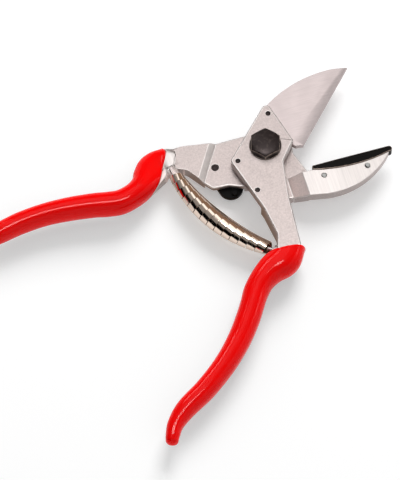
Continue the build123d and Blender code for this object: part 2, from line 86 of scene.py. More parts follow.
# Centre line of each dipped sleeve in millimetres: x, y, half width, half depth, height.
BLADE_SLEEVE = (
    (-33.0, -31.2, 5.6, 6.3, 9.8),
    (-39.0, -32.2, 6.7, 6.4, 9.7),
    (-44.6, -32.0, 7.5, 6.6, 9.6),
    (-50.9, -29.2, 6.6, 6.5, 9.4),
    (-57.6, -27.8, 5.8, 6.3, 9.2),
    (-64.1, -28.0, 5.7, 6.1, 9.1),
    (-69.8, -29.2, 5.5, 6.0, 9.1),
    (-77.5, -30.7, 5.5, 6.0, 9.1),
    (-88.5, -31.9, 5.3, 5.9, 9.1),
    (-101.5, -31.7, 5.0, 5.9, 9.1),
    (-115.5, -29.6, 4.8, 5.7, 9.1),
    (-128.0, -26.2, 4.5, 5.2, 9.1),
    (-136.5, -25.5, 3.7, 4.5, 9.1),
    (-142.0, -26.8, 3.2, 3.8, 9.1),
    (-144.3, -27.7, 2.9, 3.3, 9.1),
)
ANVIL_SLEEVE = (
    (-39.6, 7.6, 6.0, 4.3, 5.6),
    (-45.9, 8.4, 7.6, 4.3, 5.7),
    (-50.3, 6.5, 8.1, 4.9, 6.4),
    (-54.2, 2.9, 7.2, 5.6, 7.4),
    (-57.6, -0.7, 5.9, 6.0, 8.3),
    (-62.6, -3.8, 5.4, 6.1, 8.9),
    (-69.2, -5.6, 5.4, 6.0, 9.1),
    (-75.3, -5.0, 5.4, 6.0, 9.1),
    (-81.5, -3.7, 5.3, 5.9, 9.1),
    (-92.5, -2.3, 5.1, 5.9, 9.1),
    (-104.0, -1.8, 4.8, 5.8, 9.1),
    (-116.0, -2.8, 4.7, 5.7, 9.1),
    (-128.0, -5.2, 4.4, 5.2, 9.1),
    (-136.5, -6.3, 3.7, 4.5, 9.1),
    (-142.0, -5.6, 3.2, 3.8, 9.1),
    (-144.3, -4.9, 2.9, 3.3, 9.1),
)

# Mouth of each sleeve: two points at one height, and how far it leans back per millimetre down.
MOUTH_HEIGHT = 9.8
BLADE_SLEEVE_MOUTH = ((-42.4, -27.6), (-36.0, -36.4), 0.0)
ANVIL_SLEEVE_MOUTH = ((-41.8, 13.9), (-46.8, 4.9), 0.7)

# How finely a sleeve is drawn: steps from station to station, points round it, rings along it,
# rings of its dome and of its lip.
SLEEVE_STEPS = 8
SLEEVE_SIDES = 48
SLEEVE_RINGS = 110
DOME_RINGS = 7
LIP_RINGS = 5
# Every so many rings, the inner wall has one.
WALL_SKIP = 4
# An exponent of 2 would make the section an ellipse, a larger one squares it.
SLEEVE_SQUARENESS = 2.3
SLEEVE_DOME = 2.1 * MM
# Shares of a sleeve: what its lip takes up, and how far back its mouth is looked for.
LIP_SHARE = 0.012
MOUTH_WITHIN = 0.6
MOUTH_HALVINGS = 40

# Ends of the spring's axis in millimetres, and its height above the floor.
SPRING_SEATS = ((-41.6, -1.0), (-10.57, -47.07))
SPRING_HEIGHT = 7.4
# Points of the strip in one turn, how full the barrel is, and how soon the turns tuck.
TURN_POINTS = 48
BARREL_POWER = 1.7
TUCK_RISE = 6

# Finishes of the anvil forging, in the order of its materials, and where they are.
BLASTED, PAINTED_HIGHLIGHT, MILLED_AND_HIGHLIGHT, DIE_SKIN_AND_SHADE = range(4)
JAW_CORNER = (5 * MM, -12 * MM)
JAW_FLAT_FROM = 12 * MM
JAW_RAMP_TO = 14 * MM
PEG_SPAN = (-47 * MM, -37 * MM)
PEG_BELOW = 2 * MM
COLLAR_SPAN = (-47 * MM, -38.5 * MM)
COLLAR_ABOVE = 4 * MM
RIDGE_TO = -15 * MM
RIDGE_SLOPE = Vector((0.85, -0.53, 0.0))
# How much a face looks up: a level one, the least of a ramp, of the collar and of the ridge.
LEVEL = 0.98
RAMP_UP = 0.1
COLLAR_UP = 0.9
RIDGE_UP = 0.6
RIDGE_LEAN = 0.2
# The same for the blade's bevel, which is neither upright nor level.
BEVEL_UP = (0.05, 0.985)

# Points round a pin or a rivet, and their broken corners.
PEG_SIDES = 40
PIN_CORNER = 0.3 * MM
RIVET_CORNER = 0.22 * MM

# The catch's notch in the blade shank, at rest.
NOTCH_AT = (-9.06 * MM, -29.08 * MM)
NOTCH_REACH = 4.0 * MM
NOTCH_TOP = 7.5 * MM


def linear(code):
    """An sRGB hex colour as linear light."""
    channels = [int(code[i : i + 2], 16) / 255 for i in (0, 2, 4)]
    curve = [c / 12.92 if c <= 0.04045 else ((c + 0.055) / 1.055) ** 2.4 for c in channels]
    return (*curve, 1.0)


def feed(tree, node, values):
    """Gives a node's inputs their values and links."""
    for socket, value in values.items():
        if isinstance(value, bpy.types.NodeSocket):
            tree.links.new(value, node.inputs[socket])
        else:
            node.inputs[socket].default_value = value


def add(tree, kind, values=None, **settings):
    """Adds a node with its settings, its values and its links."""
    node = tree.nodes.new(kind)
    for name, value in settings.items():
        setattr(node, name, value)
    feed(tree, node, values or {})
    return node


class ShearsFinish(bpy.types.PropertyGroup):
    """Colours of the shears' finishes"""

    forging: bpy.props.FloatVectorProperty(
        name="Forging",
        description="Bead-blasted aluminium of the two handles' frames",
        subtype="COLOR",
        size=4,
        default=linear("C6BAB7"),
    )
    # Lighter aluminium: the painted highlight on edges, ridge slope and collar, and the milled jaw.
    forging_highlight_and_milled: bpy.props.FloatVectorProperty(
        name="Forging edge",
        description="Aluminium rubbed bright along the edges",
        subtype="COLOR",
        size=4,
        default=linear("E8E1DE"),
    )
    blade: bpy.props.FloatVectorProperty(
        name="Blade",
        description="Ground steel of the blade",
        subtype="COLOR",
        size=4,
        default=linear("C6BAB9"),
    )
    vinyl: bpy.props.FloatVectorProperty(
        name="Grips",
        description="Dipped vinyl of the two sleeves",
        subtype="COLOR",
        size=4,
        default=linear("FC0101"),
    )
    oxide: bpy.props.FloatVectorProperty(
        name="Black oxide",
        description="Blackened steel of the bolt, the pins and the catch",
        subtype="COLOR",
        size=4,
        default=linear("251A19"),
    )
    strip: bpy.props.FloatVectorProperty(
        name="Anvil strip",
        description="Blackened strip the blade closes on",
        subtype="COLOR",
        size=4,
        default=linear("0D0B0A"),
    )
    zinc: bpy.props.FloatVectorProperty(
        name="Zinc",
        description="Zinc plate of the nut, the segment and the screws",
        subtype="COLOR",
        size=4,
        default=linear("C4C4C2"),
    )
    nickel: bpy.props.FloatVectorProperty(
        name="Nickel",
        description="Polished nickel plate of the spring",
        subtype="COLOR",
        size=4,
        default=linear("EEDACA"),
    )


class ShearsSizes(bpy.types.PropertyGroup):
    """Sizes of the details that the dressing adds"""

    forging_round: bpy.props.FloatProperty(
        name="Forging edge",
        description="Rounding of the forged edges",
        unit="LENGTH",
        default=0.35 * MM,
    )
    fitting_round: bpy.props.FloatProperty(
        name="Fitting edge",
        description="Rounding of the edges of bolt, nut, catch and screws",
        unit="LENGTH",
        default=0.18 * MM,
    )
    blade_round: bpy.props.FloatProperty(
        name="Blade edge",
        description="Broken corner along the blade's outline",
        unit="LENGTH",
        default=0.1 * MM,
    )
    sleeve_wall: bpy.props.FloatProperty(
        name="Sleeve wall",
        description="Wall of the dipped sleeves",
        unit="LENGTH",
        default=1.45 * MM,
    )
    sleeve_lip: bpy.props.FloatProperty(
        name="Sleeve lip",
        description="Rounding at the mouth of the sleeves",
        unit="LENGTH",
        default=0.9 * MM,
    )
    strip_width: bpy.props.FloatProperty(
        name="Spring strip width",
        description="Width of the strip the spring is wound from",
        unit="LENGTH",
        default=3.8 * MM,
    )
    strip_gauge: bpy.props.FloatProperty(
        name="Spring strip gauge",
        description="Thickness of the strip the spring is wound from",
        unit="LENGTH",
        default=0.3 * MM,
    )
    strip_tuck: bpy.props.FloatProperty(
        name="Spring tuck",
        description="How much steeper each turn is than the barrel it lies on",
        default=0.012,
    )
    spring_reach: bpy.props.FloatProperty(
        name="Spring reach",
        description="How far the strip covers the peg of the anvil half",
        unit="LENGTH",
        default=2.4 * MM,
    )
    spring_turns: bpy.props.FloatProperty(
        name="Spring turns",
        description="Turns of the strip from seat to seat",
        default=14.0,
    )
    spring_end: bpy.props.FloatProperty(
        name="Spring end",
        description="Radius of the spring at its two ends",
        unit="LENGTH",
        default=3.1 * MM,
    )
    spring_middle: bpy.props.FloatProperty(
        name="Spring middle",
        description="Radius of the spring at its middle",
        unit="LENGTH",
        default=4.7 * MM,
    )
    spring_sag: bpy.props.FloatProperty(
        name="Spring bow",
        description="How far the spring bows away from the pivot",
        unit="LENGTH",
        default=5.0 * MM,
    )


class ShearsStudio(bpy.types.PropertyGroup):
    """Light and floor of the studio"""

    floor: bpy.props.FloatVectorProperty(
        name="Floor",
        description="Colour of the paper the shears lie on",
        subtype="COLOR",
        size=4,
        default=(0.8, 0.8, 0.8, 1.0),
    )
    # The wall's colour also colours the card beside the spring, which paints the shade it mirrors.
    wall: bpy.props.FloatVectorProperty(
        name="Wall",
        description="Colour of the wall that bright metal mirrors",
        subtype="COLOR",
        size=4,
        default=(0.3, 0.2, 0.14, 1.0),
    )
    ceiling: bpy.props.FloatVectorProperty(
        name="Ceiling",
        description="Colour of the ceiling that metal mirrors",
        subtype="COLOR",
        size=4,
        default=(0.3, 0.3, 0.3, 1.0),
    )
    key_power: bpy.props.FloatProperty(
        name="Softbox power",
        description="Power of the large softbox above the jaws",
        unit="POWER",
        default=21.5,
    )
    strip_glow: bpy.props.FloatProperty(
        name="Strip glow",
        description="Brightness of the narrow strip light overhead",
        default=24.0,
    )
    table: bpy.props.FloatProperty(
        name="Light table",
        description="Glow of the sheet the shears lie on",
        default=0.3,
    )
    fill: bpy.props.FloatProperty(
        name="Fill",
        description="Level of the light from all round",
        default=0.5,
    )


def finish():
    """The finishes' colours, as the panel has them."""
    return bpy.context.scene.shears_finish


def sizes():
    """The details' sizes, as the panel has them."""
    return bpy.context.scene.shears_sizes


# Noise mostly lies between these values.
NOISE_SPAN = {"From Min": 0.3, "From Max": 0.7}
METAL = {"Metallic": 1.0}


def blank(name):
    """A new material with an empty shader: the tree, the shader and Object coordinates."""
    material = bpy.data.materials.new(name)
    material.use_nodes = True
    tree = material.node_tree
    tree.nodes.clear()
    shader = add(tree, "ShaderNodeBsdfPrincipled")
    add(tree, "ShaderNodeOutputMaterial", {"Surface": shader.outputs[0]})
    place = add(tree, "ShaderNodeTexCoord").outputs["Object"]
    return material, tree, shader, place


def darker(colour, share):
    """A colour with a share of its light, or more than all of it."""
    return tuple(c * share for c in colour[:3]) + (1.0,)


def dress(tree, shader, plain, tone=None, rough=None, relief=None):
    """Feeds a shader its plain values and what follows a pattern: the tone between two colours,
    the roughness between two values, and a relief of a strength and a depth."""
    feed(tree, shader, plain)
    if tone:
        pattern, dark, light = tone
        mixed = add(tree, "ShaderNodeMix", {0: pattern, 6: dark, 7: light}, data_type="RGBA")
        feed(tree, shader, {"Base Color": mixed.outputs[2]})
    if rough:
        pattern, low, high = rough
        spread = add(
            tree,
            "ShaderNodeMapRange",
            {"Value": pattern, **NOISE_SPAN, "To Min": low, "To Max": high},
        )
        feed(tree, shader, {"Roughness": spread.outputs[0]})
    if relief:
        pattern, strength, depth = relief
        bump = add(
            tree, "ShaderNodeBump", {"Height": pattern, "Strength": strength, "Distance": depth}
        )
        feed(tree, shader, {"Normal": bump.outputs[0]})


def blasted_aluminium():
    """Aluminium forging, bead blasted: pale, even, with the fine sparkle of many small dents."""
    colour = finish().forging
    material, tree, shader, place = blank("blasted_aluminium")
    # Bead dents are about 0.1 mm across and drawn at 0.7 mm so that they show.
    dents = add(
        tree, "ShaderNodeTexNoise", {"Vector": place, "Scale": 1 / (0.7 * MM), "Detail": 3.0}
    )
    # Forging skin varies over about 8 mm.
    skin = add(tree, "ShaderNodeTexNoise", {"Vector": place, "Scale": 1 / (8 * MM), "Detail": 4.0})
    speck = add(
        tree,
        "ShaderNodeMapRange",
        {
            "Value": dents.outputs[0],
            "From Min": 0.3,
            "From Max": 0.72,
            "To Min": 0.0,
            "To Max": 1.0,
        },
    )
    tint = add(
        tree,
        "ShaderNodeMix",
        {0: speck.outputs[0], 6: darker(colour, 0.78), 7: tuple(colour)},
        data_type="RGBA",
    )
    cloud = add(
        tree,
        "ShaderNodeMapRange",
        {
            "Value": skin.outputs[0],
            "From Min": 0.35,
            "From Max": 0.65,
            "To Min": 0.9,
            "To Max": 1.0,
        },
    )
    shade = add(
        tree,
        "ShaderNodeVectorMath",
        {0: tint.outputs[2], "Scale": cloud.outputs[0]},
        operation="SCALE",
    )
    rough = (skin.outputs[0], 0.4, 0.52)
    relief = (dents.outputs[0], 0.25, 0.06 * MM)
    dress(tree, shader, {"Base Color": shade.outputs[0], **METAL}, None, rough, relief)
    return material


def painted_highlight_aluminium():
    """Aluminium painted lighter on rounded edges and the ridge's slope: a painted highlight line.
    """
    colour = finish().forging_highlight_and_milled
    material, tree, shader, place = blank("painted_highlight_aluminium")
    # The painted highlight's tone comes and goes along the edge every 3 mm or so.
    rub = add(tree, "ShaderNodeTexNoise", {"Vector": place, "Scale": 1 / (3 * MM), "Detail": 4.0})
    tone = (rub.outputs[0], darker(colour, 0.78), tuple(colour))
    dress(tree, shader, METAL, tone, (rub.outputs[0], 0.62, 0.48))
    return material


def milled_and_highlit_aluminium():
    """Aluminium milled flat, smoother than the blasted skin, with faint cutter lines; painted
    highlight on the collar.
    """
    colour = finish().forging_highlight_and_milled
    material, tree, shader, place = blank("milled_and_highlit_aluminium")
    # Cutter lines lie 0.25 mm apart across the jaw and are drawn at 0.6 mm, about 17 mm long.
    turned = add(
        tree,
        "ShaderNodeMapping",
        {
            "Vector": place,
            "Rotation": (0.0, 0.0, math.radians(70)),
            "Scale": (1 / (0.6 * MM), 60.0, 60.0),
        },
    )
    lines = add(
        tree, "ShaderNodeTexNoise", {"Vector": turned.outputs[0], "Scale": 1.0, "Detail": 2.0}
    )
    tone = (lines.outputs[0], darker(colour, 0.66), darker(colour, 0.94))
    rough = (lines.outputs[0], 0.4, 0.46)
    relief = (lines.outputs[0], 0.1, 0.03 * MM)
    dress(tree, shader, METAL, tone, rough, relief)
    return material


def die_skin_and_shade_aluminium():
    """Aluminium as it came from the die: dull and pitted in corners no tool reaches; painted shade
    on the peg.
    """
    colour = finish().forging
    material, tree, shader, place = blank("die_skin_and_shade_aluminium")
    # Die skin has pits of 0.3 mm, drawn at 0.7 mm.
    pits = add(
        tree, "ShaderNodeTexNoise", {"Vector": place, "Scale": 1 / (0.7 * MM), "Detail": 4.0}
    )
    tone = (pits.outputs[0], darker(colour, 1.2), darker(colour, 1.75))
    relief = (pits.outputs[0], 0.5, 0.12 * MM)
    dress(tree, shader, {"Roughness": 0.62, **METAL}, tone, relief=relief)
    return material


def ground_steel(name, colour, rough, turn=0.0):
    """Carbon steel, surface ground: close parallel lines that draw the light out along them."""
    material, tree, shader, place = blank(name)
    # Grinding lines are 0.05 mm apart and drawn at 0.5 mm, 20 times as long as wide.
    turned = add(
        tree,
        "ShaderNodeMapping",
        {
            "Vector": place,
            "Rotation": (0.0, 0.0, turn),
            "Scale": (1 / (10 * MM), 1 / (0.5 * MM), 1 / (0.5 * MM)),
        },
    )
    lines = add(
        tree, "ShaderNodeTexNoise", {"Vector": turned.outputs[0], "Scale": 1.0, "Detail": 3.0}
    )
    # Handling leaves the polish uneven over about 9 mm.
    cloud = add(tree, "ShaderNodeTexNoise", {"Vector": place, "Scale": 1 / (9 * MM), "Detail": 2.0})
    mixed = add(
        tree, "ShaderNodeMath", {0: lines.outputs[0], 1: cloud.outputs[0]}, operation="MULTIPLY"
    )
    tone = add(
        tree,
        "ShaderNodeMapRange",
        {
            "Value": mixed.outputs[0],
            "From Min": 0.14,
            "From Max": 0.36,
            "To Min": 0.88,
            "To Max": 1.0,
        },
    )
    shade = add(
        tree,
        "ShaderNodeVectorMath",
        {0: tuple(colour[:3]), "Scale": tone.outputs[0]},
        operation="SCALE",
    )
    rough = (lines.outputs[0], *rough)
    relief = (lines.outputs[0], 0.008, 0.02 * MM)
    dress(tree, shader, {"Base Color": shade.outputs[0], **METAL}, None, rough, relief)
    return material


def dipped_vinyl():
    """Soft vinyl, dipped: wet-looking red with a slow ripple and a thin shine over it."""
    colour = finish().vinyl
    material, tree, shader, place = blank("dipped_vinyl")
    # The dip settles in ripples about 9 mm long, with a fine skin of 0.8 mm over them.
    ripple = add(
        tree, "ShaderNodeTexNoise", {"Vector": place, "Scale": 1 / (9 * MM), "Detail": 1.0}
    )
    skin = add(
        tree, "ShaderNodeTexNoise", {"Vector": place, "Scale": 1 / (0.8 * MM), "Detail": 2.0}
    )
    slow = add(
        tree,
        "ShaderNodeBump",
        {"Height": ripple.outputs[0], "Strength": 0.15, "Distance": 0.5 * MM},
    )
    fine = add(
        tree,
        "ShaderNodeBump",
        {
            "Height": skin.outputs[0],
            "Strength": 0.06,
            "Distance": 0.03 * MM,
            "Normal": slow.outputs[0],
        },
    )
    tone = (ripple.outputs[0], darker(colour, 0.9), tuple(colour))
    plain = {"IOR": 1.53, "Specular IOR Level": 0.11, "Normal": fine.outputs[0]}
    dress(tree, shader, plain, tone, (skin.outputs[0], 0.09, 0.14))
    return material


def black_oxide():
    """Steel blackened in hot salts: brown-black, dull, rubbed grey-brown where tools touch it."""
    colour = finish().oxide
    material, tree, shader, place = blank("black_oxide_steel")
    # Rub marks of about 1.5 mm on a mottled skin of 4 mm.
    rub = add(tree, "ShaderNodeTexNoise", {"Vector": place, "Scale": 1 / (1.5 * MM), "Detail": 4.0})
    mottle = add(
        tree, "ShaderNodeTexNoise", {"Vector": place, "Scale": 1 / (4 * MM), "Detail": 2.0}
    )
    worn = add(
        tree,
        "ShaderNodeMapRange",
        {"Value": rub.outputs[0], "From Min": 0.5, "From Max": 0.75, "To Min": 0.0, "To Max": 0.3},
    )
    tone = (worn.outputs[0], tuple(colour), linear("5B5049"))
    rough = (mottle.outputs[0], 0.34, 0.5)
    relief = (rub.outputs[0], 0.12, 0.04 * MM)
    dress(tree, shader, {"Metallic": 0.6}, tone, rough, relief)
    return material


def worn_and_highlit_oxide():
    """Black oxide along an edge: a thin brown-grey line, partly wear and partly a painted
    highlight.
    """
    material, tree, shader, place = blank("worn_and_highlit_black_oxide")
    # The line of wear and painted highlight breaks up every 1.2 mm along the edge.
    rub = add(tree, "ShaderNodeTexNoise", {"Vector": place, "Scale": 1 / (1.2 * MM), "Detail": 4.0})
    tone = (rub.outputs[0], linear("4A3F39"), linear("A08F84"))
    dress(tree, shader, {"Metallic": 0.85, "Roughness": 0.38}, tone)
    return material


def blackened_strip():
    """Hard strip blackened in oil: almost black, satin, with faint rolling lines along it."""
    colour = finish().strip
    material, tree, shader, place = blank("blackened_strip")
    # Rolling lines are 0.1 mm apart and drawn at 0.5 mm.
    turned = add(
        tree,
        "ShaderNodeMapping",
        {"Vector": place, "Scale": (1 / (12 * MM), 1 / (0.5 * MM), 1 / (0.5 * MM))},
    )
    lines = add(
        tree, "ShaderNodeTexNoise", {"Vector": turned.outputs[0], "Scale": 1.0, "Detail": 3.0}
    )
    tone = (lines.outputs[0], darker(colour, 0.7), darker(colour, 1.5))
    rough = (lines.outputs[0], 0.26, 0.38)
    relief = (lines.outputs[0], 0.15, 0.04 * MM)
    dress(tree, shader, {"IOR": 1.5, "Specular IOR Level": 0.06}, tone, rough, relief)
    return material


def zinc_plate():
    """Steel, zinc plated: cool light grey with a cloudy bloom of fine crystals."""
    colour = finish().zinc
    material, tree, shader, place = blank("zinc_plated_steel")
    # Plating crystals are under 0.1 mm and drawn at 0.4 mm; the bloom is 3 mm wide.
    crystal = add(tree, "ShaderNodeTexVoronoi", {"Vector": place, "Scale": 1 / (0.4 * MM)})
    bloom = add(tree, "ShaderNodeTexNoise", {"Vector": place, "Scale": 1 / (3 * MM), "Detail": 3.0})
    tone = (bloom.outputs[0], darker(colour, 0.68), tuple(colour))
    rough = (bloom.outputs[0], 0.28, 0.42)
    relief = (crystal.outputs[0], 0.08, 0.03 * MM)
    dress(tree, shader, METAL, tone, rough, relief)
    return material


def polished_nickel():
    """Spring strip, nickel plated and polished: warm mirror with fine drawing lines."""
    colour = finish().nickel
    material, tree, shader, place = blank("polished_nickel")
    # Drawing lines are under 0.1 mm apart and drawn at 0.3 mm.
    lines = add(
        tree, "ShaderNodeTexNoise", {"Vector": place, "Scale": 1 / (0.3 * MM), "Detail": 2.0}
    )
    # Handling dulls the polish in patches of 5 mm.
    patch = add(tree, "ShaderNodeTexNoise", {"Vector": place, "Scale": 1 / (5 * MM), "Detail": 2.0})
    tone = (patch.outputs[0], darker(colour, 0.84), tuple(colour))
    rough = (patch.outputs[0], 0.09, 0.17)
    relief = (lines.outputs[0], 0.04, 0.02 * MM)
    dress(tree, shader, METAL, tone, rough, relief)
    return material


def blackened_set():
    """Black oxide and its edges, partly worn and partly a painted highlight."""
    return [black_oxide(), worn_and_highlit_oxide()]


def plated_set():
    """Zinc plate and its rubbed edges."""
    return [zinc_plate(), ground_steel("rubbed_zinc", finish().zinc, (0.24, 0.32))]


def new_piece(name, mesh, materials):
    """Links a mesh as a piece at the origin."""
    piece = bpy.data.objects.new(name, mesh)
    bpy.context.scene.collection.objects.link(piece)
    for material in materials:
        mesh.materials.append(material)
    return piece


def seat(piece, body, slot, *nodes):
    """The piece rides on its body and stands for its solids."""
    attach(piece, body)
    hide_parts(*nodes)


def merged_copy(node):
    """A copy of a solid's mesh with its loose triangles joined up."""
    shape = bmesh.new()
    shape.from_mesh(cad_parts[node].data)
    bmesh.ops.remove_doubles(shape, verts=shape.verts, dist=WELD)
    bmesh.ops.dissolve_degenerate(shape, edges=shape.edges, dist=FINE_WELD)
    return shape


def smooth_by_angle(shape, degrees):
    """Shades a shape smooth, apart from edges that turn by more than an angle."""
    limit = math.radians(degrees)
    for face in shape.faces:
        face.smooth = True
    for edge in shape.edges:
        edge.smooth = len(edge.link_faces) == 2 and edge.calc_face_angle(0.0) < limit


def settled(piece):
    """The piece with its modifiers worked into its mesh."""
    graph = bpy.context.evaluated_depsgraph_get()
    mesh = bpy.data.meshes.new_from_object(piece.evaluated_get(graph))
    piece.modifiers.clear()
    piece.data = mesh
    return piece


def rounded_copy(name, node, materials, width, pick=None, sharp=SHARP, plain=None):
    """A piece made from a solid with its edges rounded. The rounding gets the second material,
    pick chooses the material of each face, and the edges that plain chooses stay sharp."""
    shape = merged_copy(node)
    bmesh.ops.dissolve_limit(
        shape,
        angle_limit=FLAT_ANGLE,
        verts=shape.verts,
        edges=shape.edges,
        delimit={"NORMAL"},
    )
    for face in shape.faces:
        face.material_index = pick(face) if pick else 0
    smooth_by_angle(shape, sharp)
    weight = shape.edges.layers.float.new("bevel_weight_edge")
    for edge in shape.edges:
        if edge.calc_face_angle(0.0) > math.radians(sharp) and not (plain and plain(edge)):
            edge[weight] = 1.0
    mesh = bpy.data.meshes.new(name)
    shape.to_mesh(mesh)
    shape.free()
    piece = new_piece(name, mesh, materials)
    bevel = piece.modifiers.new("edges", "BEVEL")
    bevel.width = width
    bevel.segments = ROUNDING_STEPS
    bevel.limit_method = "WEIGHT"
    bevel.use_clamp_overlap = False
    bevel.harden_normals = True
    bevel.material = 1 if len(materials) > 1 else -1
    return settled(piece)


def fit_out(rows):
    """Small pieces from their solids: name, solid, finishes, share of the rounding, body, slot."""
    for name, node, materials, share, body, slot in rows:
        piece = rounded_copy(name, node, materials, share * sizes().fitting_round)
        seat(piece, body, slot, node)


def loose_boxes(node):
    """Lowest and highest corner of each separate solid in a node."""
    shape = merged_copy(node)
    left = set(shape.verts)
    boxes = []
    while left:
        reach = [left.pop()]
        found = list(reach)
        while reach:
            for edge in reach.pop().link_edges:
                for vert in edge.verts:
                    if vert in left:
                        left.discard(vert)
                        reach.append(vert)
                        found.append(vert)
        low = Vector([min(v.co[i] for v in found) for i in range(3)])
        high = Vector([max(v.co[i] for v in found) for i in range(3)])
        boxes.append((low, high))
    shape.free()
    return sorted(boxes, key=lambda box: tuple(box[0]))


def anvil_face(face):
    """The finish of one face of the anvil forging."""
    middle = face.calc_center_median()
    up = face.normal.z
    if middle.x > JAW_CORNER[0] and middle.y < JAW_CORNER[1]:
        if up > LEVEL and middle.x > JAW_FLAT_FROM:
            return MILLED_AND_HIGHLIGHT
        if RAMP_UP < up < LEVEL and middle.x < JAW_RAMP_TO:
            return DIE_SKIN_AND_SHADE
    # The spring's peg gets the dull skin as painted shade, the collar the milled finish as a
    # painted highlight.
    if PEG_SPAN[0] < middle.x < PEG_SPAN[1] and middle.y < PEG_BELOW:
        return DIE_SKIN_AND_SHADE
    on_collar = COLLAR_SPAN[0] < middle.x < COLLAR_SPAN[1] and middle.y > COLLAR_ABOVE
    if on_collar and up > COLLAR_UP:
        return MILLED_AND_HIGHLIGHT
    # The slopes of ridge and collar are painted lighter: a painted highlight.
    lean = face.normal.dot(RIDGE_SLOPE)
    if middle.x < RIDGE_TO and up > RIDGE_UP and lean > RIDGE_LEAN:
        return PAINTED_HIGHLIGHT
    return BLASTED


def notch_edge(edge):
    """The notch keeps its corners, because the catch's nib fills it."""
    middle = (edge.verts[0].co + edge.verts[1].co) / 2
    return middle.z < NOTCH_TOP and (middle.xy - Vector(NOTCH_AT)).length < NOTCH_REACH


class SHEARS_OT_forgings(bpy.types.Operator):
    """Makes the two aluminium forgings with their rounded edges, painted lighter as a highlight"""

    bl_idname = "shears.forgings"
    bl_label = "Forgings"

    def execute(self, context):
        finishes = [
            blasted_aluminium(),
            painted_highlight_aluminium(),
            milled_and_highlit_aluminium(),
            die_skin_and_shade_aluminium(),
        ]
        width = sizes().forging_round
        anvil = rounded_copy("anvil_forging", "anvil_frame", finishes, width, anvil_face)
        seat(anvil, "anvil_half", "forged_aluminium", "anvil_frame")
        blade = rounded_copy("blade_forging", "blade_frame", finishes[:2], width, plain=notch_edge)
        seat(blade, "blade_half", "forged_aluminium", "blade_frame")
        return {"FINISHED"}


def honed_face(face):
    """The second finish for the faces that slant, the first for the flat ones."""
    return 1 if BEVEL_UP[0] < abs(face.normal.z) < BEVEL_UP[1] else 0


class SHEARS_OT_blade(bpy.types.Operator):
    """Makes the ground blade with its honed bevel"""

    bl_idname = "shears.blade"
    bl_label = "Blade"

    def execute(self, context):
        colour = finish().blade
        # The turns only keep the two patterns apart: both run along the part's X axis.
        finishes = [
            ground_steel("ground_steel", colour, (0.43, 0.46), -OPEN_TURN),
            ground_steel("honed_steel", colour, (0.4, 0.46), math.pi / 2 - OPEN_TURN),
        ]
        width = sizes().blade_round
        blade = rounded_copy("shear_blade", "blade", finishes, width, honed_face, BLADE_SHARP)
        seat(blade, "blade_half", "blade_steel", "blade")
        return {"FINISHED"}


def new_tree(name, base, numbers, made):
    """An empty geometry tree: a base, numbers and a finish go in, what is made comes out."""
    tree = bpy.data.node_groups.new(name, "GeometryNodeTree")
    face = tree.interface
    face.new_socket(base, in_out="INPUT", socket_type="NodeSocketGeometry")
    for number in numbers:
        face.new_socket(number, in_out="INPUT", socket_type="NodeSocketFloat")
    face.new_socket("Finish", in_out="INPUT", socket_type="NodeSocketMaterial")
    face.new_socket(made, in_out="OUTPUT", socket_type="NodeSocketGeometry")
    return tree, add(tree, "NodeGroupInput").outputs


def peg_tree():
    """Pegs with a broken corner on every vertex of the base mesh."""
    tree, given = new_tree("pegs", "Places", ("Radius", "Length", "Corner"), "Pegs")
    plain = add(
        tree, "ShaderNodeMath", {0: given["Length"], 1: given["Corner"]}, operation="SUBTRACT"
    )
    top = add(
        tree, "ShaderNodeMath", {0: given["Radius"], 1: given["Corner"]}, operation="SUBTRACT"
    )
    shank = add(
        tree,
        "GeometryNodeMeshCone",
        {
            "Vertices": PEG_SIDES,
            "Radius Top": given["Radius"],
            "Radius Bottom": given["Radius"],
            "Depth": plain.outputs[0],
        },
    )
    end = add(
        tree,
        "GeometryNodeMeshCone",
        {
            "Vertices": PEG_SIDES,
            "Radius Top": top.outputs[0],
            "Radius Bottom": given["Radius"],
            "Depth": given["Corner"],
        },
    )
    lift = add(tree, "ShaderNodeCombineXYZ", {"Z": plain.outputs[0]})
    raised = add(
        tree,
        "GeometryNodeTransform",
        {"Geometry": end.outputs["Mesh"], "Translation": lift.outputs[0]},
    )
    both = add(tree, "GeometryNodeJoinGeometry")
    tree.links.new(shank.outputs["Mesh"], both.inputs[0])
    tree.links.new(raised.outputs[0], both.inputs[0])
    spread = add(
        tree,
        "GeometryNodeInstanceOnPoints",
        {"Points": given["Places"], "Instance": both.outputs[0]},
    )
    real = add(tree, "GeometryNodeRealizeInstances", {"Geometry": spread.outputs[0]})
    whole = add(
        tree, "GeometryNodeMergeByDistance", {"Geometry": real.outputs[0], "Distance": WELD}
    )
    dressed = add(
        tree, "GeometryNodeSetMaterial", {"Geometry": whole.outputs[0], "Material": given["Finish"]}
    )
    add(tree, "NodeGroupOutput", {0: dressed.outputs[0]})
    return tree


def socket_named(tree, name):
    """Identifier of a tree's input, by its name."""
    return next(
        item.identifier
        for item in tree.interface.items_tree
        if item.name == name and item.in_out == "INPUT"
    )


def grown(name, base, tree, values, material):
    """Runs a node tree on a base mesh and keeps the result as a plain piece."""
    piece = bpy.data.objects.new(name, base)
    bpy.context.scene.collection.objects.link(piece)
    modifier = piece.modifiers.new("tree", "NODES")
    modifier.node_group = tree
    for key, value in values.items():
        modifier[socket_named(tree, key)] = value
    modifier[socket_named(tree, "Finish")] = material
    return settled(piece)


